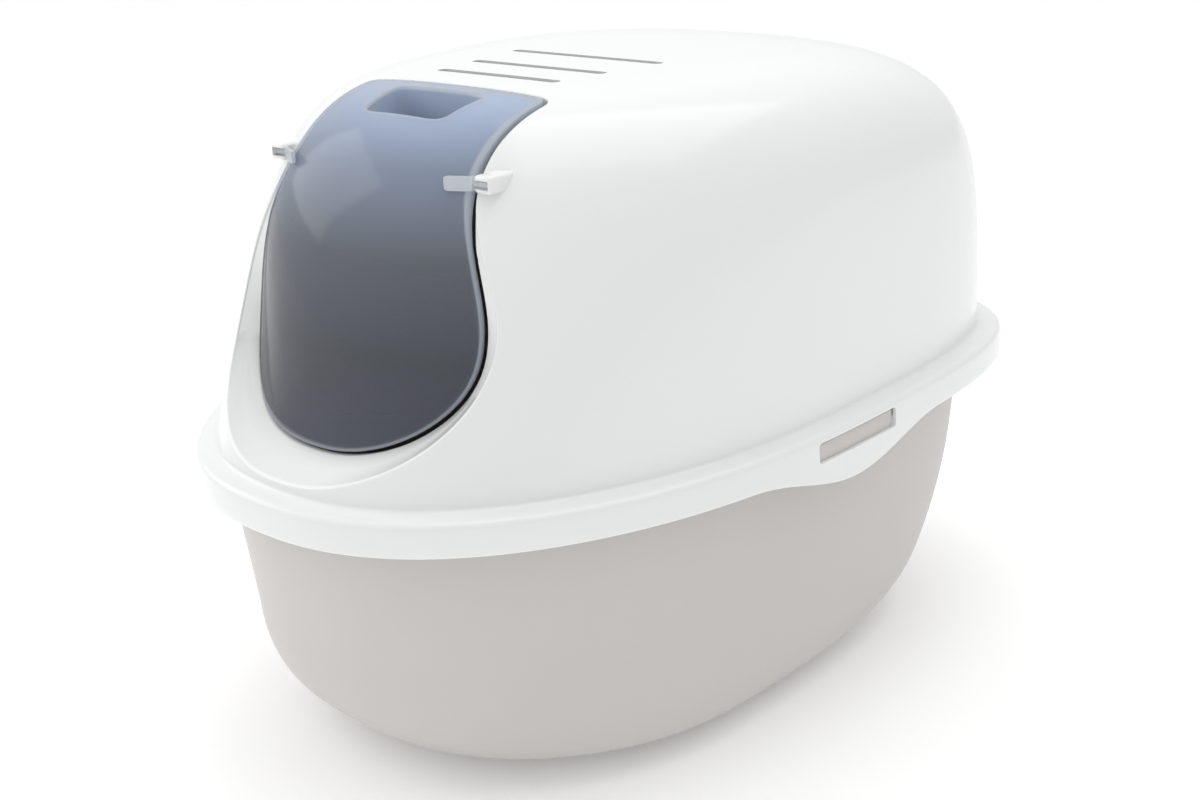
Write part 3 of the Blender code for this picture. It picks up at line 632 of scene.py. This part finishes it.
hood = piece("hood_shell", drawn_body(hood_rings), white, 40.0)
PIN_RADIUS, PIN_START, PIN_END = 0.002, 0.0745, 0.0865
GROOVE_RADIUS, GROOVE_START, GROOVE_END = PIN_RADIUS + 0.0004, PIN_START - 0.004, PIN_END + 0.0005
BOSS_START, BOSS_END = PIN_START + 0.0022, PIN_END + 0.002
BOSS_FRONT, BOSS_BACK, BOSS_HALF = 0.0032, 0.018, 0.0048
bosses, grooves, windows = [], [], []
for side in (-1, 1):
    low, high = sided(side, BOSS_START, BOSS_END, HINGE_Y - BOSS_FRONT, HINGE_Y + BOSS_BACK,
                      HINGE_Z - BOSS_HALF, HINGE_Z + BOSS_HALF)
    bosses.append(block(low, high, 0.0022, 5))
    bm = bmesh.new()
    bmesh.ops.create_cone(bm, cap_ends=True, segments=32, radius1=GROOVE_RADIUS, radius2=GROOVE_RADIUS,
                          depth=GROOVE_END - GROOVE_START)
    bmesh.ops.rotate(bm, verts=bm.verts, matrix=Matrix.Rotation(math.pi / 2, 3, "Y"))
    bmesh.ops.translate(bm, verts=bm.verts, vec=(side * (GROOVE_START + GROOVE_END) / 2, HINGE_Y, HINGE_Z))
    grooves.append(bm)
    low, high = sided(side, GROOVE_START, GROOVE_END, HINGE_Y - 0.012, HINGE_Y,
                      HINGE_Z - GROOVE_RADIUS, HINGE_Z + GROOVE_RADIUS)
    grooves.append(block(low, high))
    low, high = sided(side, WIDTH / 2 - LEDGE + 0.003, WIDTH / 2 + PAST, LATCH_Y - WINDOW_HALF,
                      LATCH_Y + WINDOW_HALF, WINDOW_LOW, WINDOW_HIGH)
    bm = block(low, high)
    across = [edge for edge in bm.edges if abs(edge.verts[0].co.x - edge.verts[1].co.x) > 0.004]
    bmesh.ops.bevel(bm, geom=across, offset=0.0022, segments=5, profile=0.5, affect="EDGES", material=-1)
    windows.append(bm)
VENTS = ((0.011, 0.060), (-0.032, 0.053), (-0.066, 0.048))
VENT_WIDTH = 0.0072
vents = [slot_block(y, half, VENT_WIDTH, HEIGHT - 0.014, HEIGHT + PAST) for y, half in VENTS]
carved(hood, [drawn_body(collar_rings, ("weld", "weld"))] + bosses, "UNION", 40.0)
carved(hood, [drawn_body(opening_rings, ("weld", "weld"))] + grooves + windows + vents, "DIFFERENCE", 40.0)
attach(hood, "hood")
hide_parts("hood")


# Flap: one moulding of smoky see-through plastic that hangs in the door opening and bends over the brow.
# It has a raised rim all round, deeper along the roof part, with a painted highlight along it that is wider
# there, and a finger pocket on top.
FLAP_GAP = 0.0024
BORDER = (0.0058, 0.0046, 0.0036, 0.0026, 0.0020, 0.0015, 0.0010, 0.0006, 0.0003, 0.0001, 0.0)
RIM_WIDTH, RIM_RISE = 0.0018, 0.0006
# Painted highlight along the flap's edge and round the pocket's mouth: its widths, blur and pale colour.
HIGHLIGHT_LINE, HIGHLIGHT_LINE_UPPER, MOUTH_HIGHLIGHT_LINE, LINE_BLUR = 0.0017, 0.0024, 0.0019, 0.0004
EDGE_HIGHLIGHT_COLOUR = (0.55, 0.60, 0.68, 1.0)
upper = eased((edge_z - HINGE_Z + 0.035) / 0.045)
panel = 0.0017 + 0.0011 * upper
flange = 0.0022 + 0.0020 * upper
flap_rings = [door_ring(-FLAP_GAP - BORDER[0], 0.0, share, True) for share in np.linspace(0.0, 1.0, 30)]
for inset in BORDER[1:]:
    hump = RIM_RISE * eased((RIM_WIDTH + 0.0008 - inset) / 0.0010)
    hump *= min(1.0, math.sqrt(inset / 0.0006 + 0.02))
    flap_rings.append(door_ring(-FLAP_GAP - inset, -hump, 1.0, True))
for inset, share in ((0.0, 0.5), (0.0001, 0.92), (0.0006, 1.0), (0.0014, 1.0), (0.0018, 0.93)):
    flap_rings.append(door_ring(-FLAP_GAP - inset, flange * share, 1.0, True))
flap_rings.append(door_ring(-FLAP_GAP - 0.0020, panel, 1.0, True))
flap_rings += [door_ring(-FLAP_GAP - BORDER[0], panel, share, True) for share in np.linspace(1.0, 0.0, 24)]

POCKET_HALF, POCKET_FRONT, POCKET_REAR, POCKET_FLOOR = 0.035, -0.1425, -0.1105, 0.360
POCKET_WALL, POCKET_NARROWING, POCKET_POWER = 0.002, 0.06, 7.0
POCKET_FOOT = ((0.0, 0.0030, 0.88), (-0.0006, 0.0014, 0.87), (-0.0016, 0.0004, 0.86), (-0.0032, 0.0, 0.86))
POCKET_LIP = ((0.0022, -0.006), (0.0018, -0.0002), (0.0010, 0.0003), (0.0004, 0.0009), (0.0, 0.0018))


def pocket_outline(steps=96):
    """Mouth of the pocket as (x, s): a rounded trapezoid, narrower in front."""
    s_front, s_rear = (float(np.interp(y, line_y, line_s)) for y in (POCKET_FRONT, POCKET_REAR))
    middle, reach = (s_front + s_rear) / 2, (s_rear - s_front) / 2
    turns = math.tau * np.arange(steps) / steps
    c, s = np.cos(turns), np.sin(turns)
    radius = (np.abs(c) ** POCKET_POWER + np.abs(s) ** POCKET_POWER) ** (-1.0 / POCKET_POWER)
    share = radius * s
    narrowed = 1.0 - POCKET_NARROWING * (1.0 - share)
    return np.stack([POCKET_HALF * radius * c * narrowed, middle + reach * share], axis=1)


mouth = pocket_outline()
ahead = np.roll(mouth, -1, axis=0) - np.roll(mouth, 1, axis=0)
mouth_out = np.stack([ahead[:, 1], -ahead[:, 0]], axis=1) / np.linalg.norm(ahead, axis=1)[:, None]


def pocket_ring(grow, depth, floor_z=None, slant=1.0):
    """A ring round the pocket: grown outwards and set a depth in, or level and drawn in by a slant."""
    flat = mouth + mouth_out * grow
    points = door_points(flat[:, 0], flat[:, 1], depth, True)
    if floor_z is not None:
        points[:, 0] *= slant
        points[:, 2] = floor_z
    return points


mouth_rings = [pocket_ring(grow, depth) for grow, depth in POCKET_LIP]
shell_rings = [pocket_ring(POCKET_WALL, 0.0009), pocket_ring(POCKET_WALL, 0.0022)]
for grow, up, slant in POCKET_FOOT:
    mouth_rings.append(pocket_ring(grow, 0.0, POCKET_FLOOR + up, slant))
    shell_rings.append(pocket_ring(grow + POCKET_WALL, 0.0, POCKET_FLOOR + up - POCKET_WALL, slant))

smoke, shader, place = new_material("smoky_moulding", {"IOR": 1.49})
height = place.node("ShaderNodeSeparateXYZ", {"Vector": place}, output=2)
climb = ((height - OPENING_BOTTOM) / (HEIGHT - OPENING_BOTTOM)).clamped()
# Base colour: the flap's own smoky tint, darkened lower down by painted shade and turned to a painted pale
# blue sky reflection towards the top.
painted_shade_and_sky_reflection = climb.node("ShaderNodeValToRGB", {"Fac": climb}, stops=(
    (0.0, (0.076, 0.082, 0.105)), (0.30, (0.080, 0.088, 0.105)), (0.58, (0.140, 0.153, 0.180)),
    (0.82, (0.280, 0.335, 0.450)), (1.0, (0.520, 0.630, 0.860))))
# A paler colour painted along the flap's edge and the pocket's mouth is a painted highlight, stronger higher
# up.
edge_highlight = place.node("ShaderNodeAttribute", {}, output="Fac", attribute_name="edge_highlight")
feed(shader, "Base Color", (edge_highlight * (climb * 0.6 + 0.4)).clamped().mixed(painted_shade_and_sky_reflection, EDGE_HIGHLIGHT_COLOUR))
feed(shader, "Alpha", climb.node("ShaderNodeMapRange", {"Value": climb, "To Min": 0.86, "To Max": 0.60}))
feed(shader, "Roughness", place.noise(14.0, 3.0) * 0.05 + 0.09)
feed(shader, "Normal", place.noise(240.0, 2.0).bump(0.02, 0.0004))

flap = piece("flap_panel", drawn_body(flap_rings, ("weld", "weld")), smoke, 45.0)
carved(flap, [drawn_body(shell_rings)], "UNION", 45.0)
carved(flap, [drawn_body(mouth_rings)], "DIFFERENCE", 45.0)

# A point attribute marks the painted highlight: 1 along the flap's edge and the pocket's mouth, fading to 0
# beside them.
edge_reach = []
edge_line = KDTree(4 * (len(outline) + len(mouth)))
for ring, width in ((door_ring(-FLAP_GAP, 0.0, 1.0, True), HIGHLIGHT_LINE + HIGHLIGHT_LINE_UPPER * upper),
                    (pocket_ring(0.0009, 0.0), np.full(len(mouth), MOUTH_HIGHLIGHT_LINE))):
    for start, stop, reach in zip(ring, np.roll(ring, -1, axis=0), width):
        for share in (0.0, 0.25, 0.5, 0.75):
            edge_line.insert(Vector(start).lerp(Vector(stop), share), len(edge_reach))
            edge_reach.append(float(reach))
edge_line.balance()
edge_highlight_share = flap.data.attributes.new("edge_highlight", "FLOAT", "POINT")
for corner, share in zip(flap.data.vertices, edge_highlight_share.data):
    _, nearest, distance = edge_line.find(corner.co)
    share.value = float(1.0 - eased((distance - edge_reach[nearest] + LINE_BLUR) / (2.0 * LINE_BLUR)))
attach(flap, "flap")
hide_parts("flap")


# Hinge pins: on each edge of the flap a small clear tab carries a round pin, which snaps sideways into the
# open groove of the hood's boss.
clear, shader, place = new_material("clear_moulding", {"IOR": 1.49, "Alpha": 0.45})
feed(shader, "Base Color", place.noise(60.0).mixed((0.72, 0.76, 0.79, 1.0), (0.80, 0.83, 0.85, 1.0)))
feed(shader, "Roughness", place.noise(90.0) * 0.06 + 0.07)

TAB_SECTIONS = ((-0.013, 0.0034), (-0.0118, 0.0039), (-0.0018, 0.0040), (0.0012, 0.0038))
TAB_SUNK, TAB_THICK, TAB_POWER = 0.0006, 0.0026, 5
TAB_INNER, TAB_OUTER = 0.0011, 0.0030

for name, side in (("left", -1), ("right", 1)):
    bm = bmesh.new()
    bmesh.ops.create_cone(bm, cap_ends=True, segments=32, radius1=PIN_RADIUS, radius2=PIN_RADIUS,
                          depth=PIN_END - PIN_START)
    ends = [edge for edge in bm.edges if abs(edge.verts[0].co.z - edge.verts[1].co.z) < 1e-5]
    bmesh.ops.bevel(bm, geom=ends, offset=0.0008, segments=4, profile=0.5, affect="EDGES", material=-1)
    bmesh.ops.rotate(bm, verts=bm.verts, matrix=Matrix.Rotation(math.pi / 2, 3, "Y"))
    bmesh.ops.translate(bm, verts=bm.verts, vec=(side * (PIN_START + PIN_END) / 2, HINGE_Y, HINGE_Z))
    pin = piece(f"hinge_pin_{name}", bm, clear)
    sections = []
    for along, half in TAB_SECTIONS:
        x = PIN_START + along
        face = float(dome_front_y(np.array([x]), np.array([rise_at(HINGE_Z - half)]))[0])
        inner_y = face - TAB_SUNK if along < 0.0 else HINGE_Y + TAB_INNER
        outer_y = inner_y - TAB_THICK if along < 0.0 else HINGE_Y - TAB_OUTER
        ring = []
        for angle in math.tau * np.arange(24) / 24:
            c, s = math.cos(angle), math.sin(angle)
            reach = (abs(c) ** TAB_POWER + abs(s) ** TAB_POWER) ** (-1.0 / TAB_POWER)
            ring.append((side * x, (inner_y + outer_y) / 2 + (inner_y - outer_y) / 2 * reach * c,
                         HINGE_Z + half * reach * s))
        sections.append(np.array(ring))
    carved(pin, [drawn_body(sections)], "UNION")
    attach(pin, "flap")
    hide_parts(f"flap_pin_{name}")


# Filter: a shallow white frame with bars below clips under the vents, and holds a thin black pad of
# carbon foam. The frame is thin-walled, with small rounded edges.
low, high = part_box("filter_holder")
FRAME_WALL, FRAME_BORDER = 0.002, 0.006
BAR_COUNT, BAR_OPEN_SHARE = 7, 0.32
holder = piece("filter_frame", block(low, high, 0.0006, 2), white)
well_low = (low.x + FRAME_WALL, low.y + FRAME_WALL, low.z + FRAME_WALL)
well_high = (high.x - FRAME_WALL, high.y - FRAME_WALL, high.z + PAST)
cuts = [block(well_low, well_high)]
pitch = (well_high[0] - well_low[0]) / BAR_COUNT
for index in range(BAR_COUNT):
    x = well_low[0] + pitch * (index + 0.5)
    cuts.append(block((x - pitch * BAR_OPEN_SHARE, well_low[1] + FRAME_BORDER, low.z - PAST),
                      (x + pitch * BAR_OPEN_SHARE, well_high[1] - FRAME_BORDER, low.z + FRAME_WALL + 0.001)))
carved(holder, cuts, "DIFFERENCE")
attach(holder, "filter")
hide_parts("filter_holder")

PAD_BORDER, PAD_THINNING = 0.1, 0.35
low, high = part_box("filter_pad")
bm = block(low, high)
bmesh.ops.subdivide_edges(bm, edges=bm.edges[:], cuts=24, use_grid_fill=True)
bmesh.ops.recalc_face_normals(bm, faces=bm.faces)
middle, reach = (low + high) / 2, (high - low) / 2
for corner in bm.verts:
    away = Vector(((corner.co.x - middle.x) / reach.x, (corner.co.y - middle.y) / reach.y))
    round_off = eased((max(abs(away.x), abs(away.y)) - (1.0 - PAD_BORDER)) / PAD_BORDER)
    corner.co.z = middle.z + (corner.co.z - middle.z) * (1.0 - PAD_THINNING * float(round_off))
foam, shader, place = new_material("carbon_foam", {"Sheen Weight": 0.2})
cells = place.node("ShaderNodeTexVoronoi", {"Vector": place, "Scale": 900.0})
feed(shader, "Base Color", cells.mixed((0.012, 0.012, 0.013, 1.0), (0.050, 0.050, 0.052, 1.0)))
feed(shader, "Roughness", cells * 0.1 + 0.85)
feed(shader, "Normal", cells.bump(0.6, 0.0006))
pad = piece("filter_foam", bm, foam)
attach(pad, "filter")
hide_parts("filter_pad")
